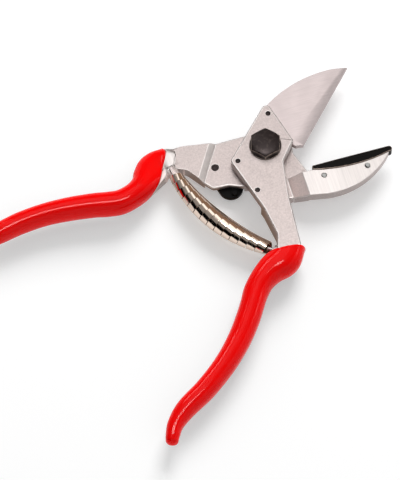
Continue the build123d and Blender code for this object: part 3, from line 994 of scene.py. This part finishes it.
def tidy_mesh(piece, degrees):
    """Joins loose seams, turns faces outwards and shades the piece."""
    shape = bmesh.new()
    shape.from_mesh(piece.data)
    bmesh.ops.remove_doubles(shape, verts=shape.verts, dist=FINE_WELD)
    inner = [f for f in shape.faces if all(len(e.link_faces) > 2 for e in f.edges)]
    bmesh.ops.delete(shape, geom=inner, context="FACES_ONLY")
    bmesh.ops.recalc_face_normals(shape, faces=shape.faces)
    smooth_by_angle(shape, degrees)
    shape.to_mesh(piece.data)
    shape.free()


def pegs(name, node, tree, corner, material):
    """Pegs in the places of a node's solids."""
    boxes = loose_boxes(node)
    base = bpy.data.meshes.new(name)
    base.from_pydata([((a.x + b.x) / 2, (a.y + b.y) / 2, a.z) for a, b in boxes], [], [])
    low, high = boxes[0]
    values = {"Radius": (high.x - low.x) / 2, "Length": high.z - low.z, "Corner": corner}
    piece = grown(name, base, tree, values, material)
    tidy_mesh(piece, SHARP)
    return piece


class SHEARS_OT_pins(bpy.types.Operator):
    """Makes the blade's pins and the anvil strip's rivets"""

    bl_idname = "shears.pins"
    bl_label = "Pins and rivets"

    def execute(self, context):
        tree = peg_tree()
        pins = pegs("plate_pins", "blade_pins", tree, PIN_CORNER, black_oxide())
        seat(pins, "blade_half", "black_steel", "blade_pins")
        bright = ground_steel("rivet_steel", darker(finish().zinc, 0.6), (0.3, 0.42))
        rivets = pegs("strip_rivets", "anvil_rivets", tree, RIVET_CORNER, bright)
        seat(rivets, "anvil_half", "rivet_steel", "anvil_rivets")
        return {"FINISHED"}


class SHEARS_OT_anvil(bpy.types.Operator):
    """Makes the black strip the blade closes on"""

    bl_idname = "shears.anvil"
    bl_label = "Anvil strip"

    def execute(self, context):
        finishes = [blackened_strip(), worn_and_highlit_oxide()]
        fit_out([("closing_strip", "anvil_strip", finishes, 1.8, "anvil_half", "black_strip")])
        return {"FINISHED"}


class SHEARS_OT_pivot(bpy.types.Operator):
    """Makes the bolt, its washer, the toothed nut and what locks the nut"""

    bl_idname = "shears.pivot"
    bl_label = "Pivot"

    def execute(self, context):
        black = blackened_set()
        zinc = plated_set()
        fit_out(
            (
                ("hexagon_bolt", "pivot_bolt", black, 1.6, "anvil_half", "black_steel"),
                ("bolt_washer", "head_washer", black, 0.8, "anvil_half", "black_steel"),
                ("toothed_nut", "pivot_nut", zinc, 0.7, "anvil_half", "zinc_steel"),
                ("nut_lock", "lock_segment", zinc, 0.7, "anvil_half", "zinc_steel"),
                ("lock_screw", "segment_screw", zinc, 0.7, "anvil_half", "zinc_steel"),
            )
        )
        return {"FINISHED"}


class SHEARS_OT_catch(bpy.types.Operator):
    """Makes the thumb catch, the screw it turns on and its spring washer"""

    bl_idname = "shears.catch"
    bl_label = "Thumb catch"

    def execute(self, context):
        black = blackened_set()
        plate = [blackened_strip()]
        zinc = plated_set()
        fit_out(
            (
                ("catch_plate", "thumb_catch", plate, 1.0, "catch", "black_steel"),
                ("catch_pivot_screw", "catch_screw", black, 0.7, "anvil_half", "black_steel"),
                ("catch_drag_washer", "catch_washer", zinc, 0.5, "anvil_half", "zinc_steel"),
            )
        )
        return {"FINISHED"}


def along(stations, steps):
    """A smooth row of stations through the given ones."""
    row = []
    last = len(stations) - 1
    for i in range(last):
        a = stations[max(i - 1, 0)]
        b = stations[i]
        c = stations[i + 1]
        d = stations[min(i + 2, last)]
        for k in range(steps):
            t = k / steps
            station = []
            for p, q, r, s in zip(a, b, c, d):
                square = (2 * p - 5 * q + 4 * r - s) * t * t
                cube = (3 * q - p - 3 * r + s) * t**3
                station.append(0.5 * (2 * q + (r - p) * t + square + cube))
            row.append(station)
    row.append(list(stations[-1]))
    return row


def sleeve_mesh(name, stations, mouth, turn, wall, lip):
    """A dipped sleeve: outer skin, rounded mouth that leans back, inner wall, domed end."""
    row = along(stations, SLEEVE_STEPS)
    last = len(row) - 1
    centres = [Vector((s[0], s[1], s[4])) * MM for s in row]
    halves = [(s[2] * MM, s[3] * MM) for s in row]
    sides = []
    for i in range(len(row)):
        ahead = centres[min(i + 1, last)] - centres[max(i - 1, 0)]
        ahead.z = 0
        ahead.normalize()
        sides.append((ahead, Vector((-ahead.y, ahead.x, 0))))
    near, far, lean = mouth
    a = Vector((*near, MOUTH_HEIGHT)) * MM
    b = Vector((*far, MOUTH_HEIGHT)) * MM
    cut = Vector(((b - a).y, (a - b).x, 0)).normalized()
    cut = Vector((cut.x, cut.y, lean)).normalized()
    count = SLEEVE_SIDES
    steps = SLEEVE_RINGS
    power = 2 / SLEEVE_SQUARENESS

    def skin(s, angle, inset):
        """A point of the skin at a place along the row, drawn in by an inset."""
        i = min(int(s), last - 1)
        f = s - i
        centre = centres[i].lerp(centres[i + 1], f)
        side = sides[i][1].lerp(sides[i + 1][1], f).normalized()
        w = halves[i][0] + (halves[i + 1][0] - halves[i][0]) * f - inset
        d = halves[i][1] + (halves[i + 1][1] - halves[i][1]) * f - inset
        c = math.cos(angle)
        z = math.sin(angle)
        across = math.copysign(abs(c) ** power, c) * w
        up = math.copysign(abs(z) ** power, z) * d
        return centre + side * across + Vector((0, 0, up))

    def mouth_place(angle):
        """Where along the row the skin meets the slanted cut."""
        low = 0.0
        high = last * MOUTH_WITHIN
        for _ in range(MOUTH_HALVINGS):
            middle = (low + high) / 2
            if (skin(middle, angle, 0) - a).dot(cut) < 0:
                low = middle
            else:
                high = middle
        return high

    angles = [2 * math.pi * k / count for k in range(count)]
    starts = [mouth_place(angle) for angle in angles]

    def ring(share, inset, ahead):
        """One ring of the skin at a share of the way from mouth to end, moved ahead of the cut."""
        points = []
        for angle, start in zip(angles, starts):
            s = start + (last - start) * share
            points.append(skin(s, angle, inset) + cut * ahead)
        return points

    def end_cap(inset):
        """Rings that close the far end in a dome."""
        forward = sides[-1][0]
        reach = SLEEVE_DOME - inset
        done = []
        for k in range(1, DOME_RINGS):
            t = math.pi / 2 * k / DOME_RINGS
            points = []
            for angle in angles:
                p = skin(last, angle, inset)
                flat = centres[-1] + (p - centres[-1]) * math.cos(t)
                points.append(flat + forward * reach * math.sin(t))
            done.append(points)
        return done, centres[-1] + forward * reach

    # From the far pole along the outer skin to the mouth, over the lip and back along the wall.
    outer, outer_pole = end_cap(0.0)
    rings = outer[::-1]
    rings += [ring(k / steps, 0.0, 0.0) for k in range(steps, 0, -1) if k / steps > LIP_SHARE]
    for k in range(LIP_RINGS + 1):
        t = math.pi / 2 * k / LIP_RINGS
        rings.append(ring(0.0, lip * (1 - math.cos(t)), lip * (1 - math.sin(t))))
    rings.append(ring(0.0, wall, 0.0))
    rings += [ring(k / steps, wall, 0.0) for k in range(2, steps + 1, WALL_SKIP)]
    inner, inner_pole = end_cap(wall)
    rings += inner
    points = [outer_pole]
    for points_of_ring in rings:
        points += points_of_ring
    points.append(inner_pole)
    spin = Matrix.Rotation(turn, 4, "Z")
    points = [spin @ p for p in points]
    faces = [(0, 1 + k, 1 + (k + 1) % count) for k in range(count)]
    for j in range(len(rings) - 1):
        for k in range(count):
            n = (k + 1) % count
            base = 1 + j * count
            faces.append((base + k, base + count + k, base + count + n, base + n))
    base = 1 + (len(rings) - 1) * count
    for k in range(count):
        faces.append((base + k, len(points) - 1, base + (k + 1) % count))
    mesh = bpy.data.meshes.new(name)
    mesh.from_pydata(points, [], faces)
    return mesh


class SHEARS_OT_grips(bpy.types.Operator):
    """Makes the two dipped sleeves"""

    bl_idname = "shears.grips"
    bl_label = "Grips"

    def execute(self, context):
        vinyl = dipped_vinyl()
        wall = sizes().sleeve_wall
        lip = sizes().sleeve_lip
        blade = (BLADE_SLEEVE, BLADE_SLEEVE_MOUTH, OPEN_TURN)
        anvil = (ANVIL_SLEEVE, ANVIL_SLEEVE_MOUTH, 0.0)
        rows = (
            ("blade_sleeve", blade, "blade_half", "blade_grip"),
            ("anvil_sleeve", anvil, "anvil_half", "anvil_grip"),
        )
        for name, drawn, body, node in rows:
            mesh = sleeve_mesh(name, *drawn, wall, lip)
            piece = new_piece(name, mesh, [vinyl])
            tidy_mesh(piece, SLEEVE_SHARP)
            seat(piece, body, "red_vinyl", node)
            # Red light from the grips would tint the paper.
            piece.visible_diffuse = False
        return {"FINISHED"}


def strip_coil_tree():
    """A flat strip laid along the base line, its face turned the way the line's points say."""
    tree, given = new_tree("wound_strip", "Line", ("Strip Width", "Strip Gauge"), "Coil")
    line = add(tree, "GeometryNodeMeshToCurve", {"Mesh": given["Line"]})
    outward = add(
        tree, "GeometryNodeInputNamedAttribute", {"Name": "outward"}, data_type="FLOAT_VECTOR"
    )
    facing = add(
        tree,
        "GeometryNodeSetCurveNormal",
        {"Curve": line.outputs[0], "Normal": outward.outputs["Attribute"]},
        mode="FREE",
    )
    section = add(
        tree,
        "GeometryNodeCurvePrimitiveQuadrilateral",
        {"Width": given["Strip Gauge"], "Height": given["Strip Width"]},
    )
    strip = add(
        tree,
        "GeometryNodeCurveToMesh",
        {"Curve": facing.outputs[0], "Profile Curve": section.outputs[0], "Fill Caps": True},
    )
    real = add(tree, "GeometryNodeRealizeInstances", {"Geometry": strip.outputs[0]})
    dressed = add(
        tree, "GeometryNodeSetMaterial", {"Geometry": real.outputs[0], "Material": given["Finish"]}
    )
    add(tree, "NodeGroupOutput", {0: dressed.outputs[0]})
    return tree


def spring_arc(sag):
    """Both seats of the spring, and the centre, radius, start angle and sweep of its axis."""
    a = Vector((*SPRING_SEATS[0], SPRING_HEIGHT)) * MM
    b = Vector((*SPRING_SEATS[1], SPRING_HEIGHT)) * MM
    chord = b - a
    middle = (a + b) / 2
    out = Vector((middle.x, middle.y, 0)).normalized()
    normal = Vector((-chord.y, chord.x, 0)).normalized()
    if normal.dot(out) < 0:
        normal = -normal
    radius = (chord.length**2 / 4 + sag**2) / (2 * sag)
    centre = middle + normal * (sag - radius)
    start = math.atan2(a.y - centre.y, a.x - centre.x)
    end = math.atan2(b.y - centre.y, b.x - centre.x)
    sweep = (end - start + math.pi) % (2 * math.pi) - math.pi
    return a, b, centre, radius, start, sweep


def coil_line(name, centre, radius, start, sweep):
    """The strip's middle line as a base mesh, with the direction its face looks in."""
    size = sizes()
    length = abs(radius * sweep)
    first = (size.strip_width / 2 - size.spring_reach) / length
    last = 1 - size.strip_width / 2 / length
    steps = int(size.spring_turns * TURN_POINTS)
    swelling = size.spring_middle - size.spring_end
    points = []
    facing = []
    for i in range(steps + 1):
        share = i / steps
        bearing = start + sweep * (first + (last - first) * share)
        out = Vector((math.cos(bearing), math.sin(bearing), 0.0))
        onward = Vector((-math.sin(bearing), math.cos(bearing), 0.0))
        from_middle = 2 * share - 1
        off = abs(from_middle)
        swell = 1 - off**BARREL_POWER
        reach = size.spring_end + swelling * swell - size.strip_gauge / 2
        turn = 2 * math.pi * size.spring_turns * share
        spoke = out * math.cos(turn) + Vector((0.0, 0.0, math.sin(turn)))
        # Each turn lies on the barrel and tucks the side that looks to the spring's end.
        slope = swelling * (2 * BARREL_POWER) * off ** (BARREL_POWER - 1) / length
        tuck = slope + size.strip_tuck * min(1.0, off * TUCK_RISE)
        tuck = math.copysign(tuck, from_middle * sweep)
        points.append(centre + out * radius + spoke * reach)
        facing.append((spoke + onward * tuck).normalized())
    mesh = bpy.data.meshes.new(name)
    mesh.from_pydata(points, [(i, i + 1) for i in range(steps)], [])
    outward = mesh.attributes.new("outward", "FLOAT_VECTOR", "POINT")
    for item, vector in zip(outward.data, facing):
        item.vector = vector
    return mesh


class SHEARS_OT_spring(bpy.types.Operator):
    """Winds the polished strip spring between the handles"""

    bl_idname = "shears.spring"
    bl_label = "Spring"

    def execute(self, context):
        size = sizes()
        a, b, centre, radius, start, sweep = spring_arc(size.spring_sag)
        base = coil_line("strip_spring", centre, radius, start, sweep)
        values = {"Strip Width": size.strip_width, "Strip Gauge": size.strip_gauge}
        piece = grown("strip_spring", base, strip_coil_tree(), values, polished_nickel())
        tidy_mesh(piece, SPRING_SHARP)
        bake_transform(piece)
        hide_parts("volute_spring")
        return {"FINISHED"}


# The camera looks down at 65 degrees from a little to the left of the jaw's line.
VIEW_RIGHT = Vector((0.9578, -0.2874, 0.0))
VIEW_AHEAD = Vector((0.2874, 0.9578, 0.0))
VIEW_ELEVATION = math.radians(65)
VIEW_DISTANCE = 2.0
METRES_PER_PIXEL = 0.45 * MM
PIVOT_TOP = Vector((0.0, 0.0, 15.1 * MM))
PIVOT_PIXEL = (265.3, 145.6)
IMAGE = (400, 480)
SENSOR_WIDTH = 36
VIEW_END = 20

UP = Vector((0.0, 0.0, 1.0))
WHITE = (1.0, 1.0, 1.0, 1.0)

# The paper's half width, how far it lies below the shears, and the softbox above them.
PAPER_HALF = 3
PAPER_GAP = 0.1 * MM
SOFTBOX_SIZE = 0.9
SOFTBOX_DISTANCE = 1.7
SOFTBOX_TOWARDS = VIEW_AHEAD + VIEW_RIGHT * 0.25 + UP * 0.9

# The strip light overhead: half its length, half its width, and its height.
STRIP_LIGHT = (0.275, 0.13, 1.5)
# The card beside the spring, in millimetres: painted shade that only mirrors see.
SHADE_CARD = ((-40.0, -1.0), (-9.0, -47.0), (0.0, -41.0), (-31.0, 5.0))
SHADE_CARD_HEIGHT = 0.3
# Faces across and up each sheet round the set.
SHEET_ACROSS = 24
SHEET_UP = 8
# Sheets round the set: distance, then heading, half width, lowest and highest elevation in
# degrees, and the glow of the grey ones.
CEILING = (2.9, 0, 180, 46, 89.5)
TAN_WALL = (2.8, 48, 16, 3, 54)
GREY_SHEETS = (
    # A pale panel and a lit one in the ceiling, where flat metal looks.
    ("pale_panel", 2.85, 58, 52, 48, 78, 0.55),
    ("lit_panel", 2.8, 73, 24, 51, 79, 1.55),
    # A dark backdrop behind the set, which keeps the red deep.
    ("dark_backdrop", 2.95, 78, 82, 14, 46, 0.2),
    # A bright window on the left, which lifts the jaw's ramp.
    ("left_window", 2.75, 104, 7, 38, 52, 7.0),
    # A small lit panel low on the right, which the ridge's slope looks at.
    ("slope_panel", 2.75, -4, 9, 23, 37, 3.0),
    # Dark cloth left of the spring.
    ("black_cloth", 2.9, 200, 40, 5, 46, 0.0),
)


def mirrored_sheet(name, points, faces, colour):
    """A sheet of one colour that only mirrors see."""
    mesh = bpy.data.meshes.new(name)
    mesh.from_pydata(points, [], faces)
    cloth = bpy.data.materials.new(name)
    cloth.use_nodes = True
    tree = cloth.node_tree
    tree.nodes.clear()
    glow = add(tree, "ShaderNodeEmission", {"Color": colour, "Strength": 1.0})
    add(tree, "ShaderNodeOutputMaterial", {"Surface": glow.outputs[0]})
    sheet = new_piece(name, mesh, [cloth])
    for ray in ("camera", "diffuse", "shadow", "transmission"):
        setattr(sheet, f"visible_{ray}", False)


def flag(name, radius, heading, half_angle, low, high, colour):
    """A curved sheet round the set, from one elevation to another, in degrees."""
    points = []
    for j in range(SHEET_UP + 1):
        rise = math.radians(low + (high - low) * j / SHEET_UP)
        for i in range(SHEET_ACROSS + 1):
            turn = math.radians(heading) + math.radians(half_angle) * (2 * i / SHEET_ACROSS - 1)
            flat = radius * math.cos(rise)
            points.append((flat * math.cos(turn), flat * math.sin(turn), radius * math.sin(rise)))
    row = SHEET_ACROSS + 1
    faces = [
        (j * row + i, j * row + i + 1, (j + 1) * row + i + 1, (j + 1) * row + i)
        for j in range(SHEET_UP)
        for i in range(SHEET_ACROSS)
    ]
    mirrored_sheet(name, points, faces, colour)


def lay_paper(studio):
    """The white paper the shears lie on, lit a little from below."""
    paper, tree, shader, place = blank("white_paper")
    # Paper tooth of 1 mm, just enough to keep the floor from looking empty.
    tooth = add(tree, "ShaderNodeTexNoise", {"Vector": place, "Scale": 1 / (1 * MM), "Detail": 2.0})
    tone = (tooth.outputs[0], darker(studio.floor, 0.985), tuple(studio.floor))
    # The sheet lies on a light table, which keeps its shadows clean.
    glow = {"Emission Color": WHITE, "Emission Strength": studio.table}
    dress(tree, shader, {"Roughness": 0.9, "Specular IOR Level": 0.0, **glow}, tone)
    low = CAD_BOX[0][2] - PAPER_GAP
    corners = ((-1, -1), (1, -1), (1, 1), (-1, 1))
    mesh = bpy.data.meshes.new("paper_floor")
    points = [(x * PAPER_HALF, y * PAPER_HALF, low) for x, y in corners]
    mesh.from_pydata(points, [], [(0, 1, 2, 3)])
    new_piece("paper_floor", mesh, [paper])


def light_room(scene, studio):
    """A white room to the eye and in mirrors, and a soft fill to everything else."""
    world = bpy.data.worlds.new("studio")
    scene.world = world
    world.use_nodes = True
    tree = world.node_tree
    tree.nodes.clear()
    rays = add(tree, "ShaderNodeLightPath").outputs
    seen = add(
        tree,
        "ShaderNodeMath",
        {0: rays["Is Camera Ray"], 1: rays["Is Glossy Ray"]},
        operation="MAXIMUM",
    )
    through = add(
        tree,
        "ShaderNodeMath",
        {0: seen.outputs[0], 1: rays["Is Transmission Ray"]},
        operation="MAXIMUM",
    )
    fill = add(tree, "ShaderNodeBackground", {"Color": WHITE, "Strength": studio.fill})
    white = add(tree, "ShaderNodeBackground", {"Color": WHITE, "Strength": 1.0})
    mixed = add(
        tree,
        "ShaderNodeMixShader",
        {0: through.outputs[0], 1: fill.outputs[0], 2: white.outputs[0]},
    )
    add(tree, "ShaderNodeOutputWorld", {"Surface": mixed.outputs[0]})


def hang_softbox(scene, studio):
    """The large softbox above the jaws, which mirrors don't see."""
    lamp = bpy.data.lights.new("softbox", "AREA")
    lamp.shape = "SQUARE"
    lamp.size = SOFTBOX_SIZE
    lamp.energy = studio.key_power
    softbox = bpy.data.objects.new("softbox", lamp)
    scene.collection.objects.link(softbox)
    towards = SOFTBOX_TOWARDS.normalized()
    softbox.location = towards * SOFTBOX_DISTANCE
    softbox.rotation_euler = towards.to_track_quat("Z", "Y").to_euler()
    softbox.visible_glossy = False


def hang_sheets(studio):
    """What shiny metal and vinyl mirror: lights, panels, cloth, wall and card."""
    one_face = [(0, 1, 2, 3)]
    # A narrow strip light overhead, which draws the thin line along the grips.
    a, b, height = STRIP_LIGHT
    corners = ((-a, -b), (a, -b), (a, b), (-a, b))
    points = [VIEW_RIGHT * x + VIEW_AHEAD * y + UP * height for x, y in corners]
    mirrored_sheet("strip_light", points, one_face, darker(WHITE, studio.strip_glow))
    flag("grey_ceiling", *CEILING, studio.ceiling)
    for *place, glow in GREY_SHEETS:
        flag(*place, darker(WHITE, glow))
    # A tan wall, and a tan card right of the spring that paints the shade the spring mirrors.
    flag("tan_wall", *TAN_WALL, studio.wall)
    points = [(x * MM, y * MM, SHADE_CARD_HEIGHT * MM) for x, y in SHADE_CARD]
    mirrored_sheet("painted_shade_card", points, one_face, studio.wall)


def place_camera(scene):
    """A camera that looks as the photo's did, with the pivot where the photo has it."""
    ahead = VIEW_AHEAD * math.cos(VIEW_ELEVATION) - UP * math.sin(VIEW_ELEVATION)
    up = VIEW_AHEAD * math.sin(VIEW_ELEVATION) + UP * math.cos(VIEW_ELEVATION)
    right_by = (PIVOT_PIXEL[0] - IMAGE[0] / 2) * METRES_PER_PIXEL
    up_by = (IMAGE[1] / 2 - PIVOT_PIXEL[1]) * METRES_PER_PIXEL
    target = PIVOT_TOP - VIEW_RIGHT * right_by - up * up_by
    lens = bpy.data.cameras.new("view")
    lens.sensor_width = SENSOR_WIDTH
    lens.lens = SENSOR_WIDTH / max(IMAGE) * VIEW_DISTANCE / METRES_PER_PIXEL
    lens.clip_end = VIEW_END
    camera = bpy.data.objects.new("view", lens)
    scene.collection.objects.link(camera)
    spot = target - ahead * VIEW_DISTANCE
    axes = Matrix((VIEW_RIGHT, up, -ahead)).transposed().to_4x4()
    camera.matrix_world = Matrix.Translation(spot) @ axes
    scene.camera = camera


class SHEARS_OT_studio(bpy.types.Operator):
    """Sets the floor, the soft light and the camera"""

    bl_idname = "shears.studio"
    bl_label = "Studio"

    def execute(self, context):
        scene = context.scene
        scene.view_settings.view_transform = "Standard"
        studio = scene.shears_studio
        lay_paper(studio)
        light_room(scene, studio)
        hang_softbox(scene, studio)
        hang_sheets(studio)
        place_camera(scene)
        return {"FINISHED"}


OPERATORS = (
    SHEARS_OT_forgings,
    SHEARS_OT_blade,
    SHEARS_OT_pins,
    SHEARS_OT_anvil,
    SHEARS_OT_pivot,
    SHEARS_OT_catch,
    SHEARS_OT_grips,
    SHEARS_OT_spring,
    SHEARS_OT_studio,
)


class SHEARS_PT_panel(bpy.types.Panel):
    """Lists the pieces of the shears and their studio"""

    bl_idname = "SHEARS_PT_panel"
    bl_label = "Pruning Shears"
    bl_space_type = "VIEW_3D"
    bl_region_type = "UI"
    bl_category = "Shears"

    def draw(self, context):
        layout = self.layout
        for group in ("shears_finish", "shears_sizes", "shears_studio"):
            box = layout.box()
            settings = getattr(context.scene, group)
            for name in settings.bl_rna.properties.keys():
                if name not in ("rna_type", "name"):
                    box.prop(settings, name)
        for operator in OPERATORS:
            layout.operator(operator.bl_idname)


CLASSES = (ShearsFinish, ShearsSizes, ShearsStudio, *OPERATORS, SHEARS_PT_panel)


def register():
    for item in CLASSES:
        bpy.utils.register_class(item)
    bpy.types.Scene.shears_finish = bpy.props.PointerProperty(type=ShearsFinish)
    bpy.types.Scene.shears_sizes = bpy.props.PointerProperty(type=ShearsSizes)
    bpy.types.Scene.shears_studio = bpy.props.PointerProperty(type=ShearsStudio)


def unregister():
    del bpy.types.Scene.shears_studio
    del bpy.types.Scene.shears_sizes
    del bpy.types.Scene.shears_finish
    for item in reversed(CLASSES):
        bpy.utils.unregister_class(item)


def main():
    register()
    bpy.ops.shears.forgings()
    bpy.ops.shears.blade()
    bpy.ops.shears.pins()
    bpy.ops.shears.anvil()
    bpy.ops.shears.pivot()
    bpy.ops.shears.catch()
    bpy.ops.shears.grips()
    bpy.ops.shears.spring()
    bpy.ops.shears.studio()


if __name__ == "__main__":
    main()
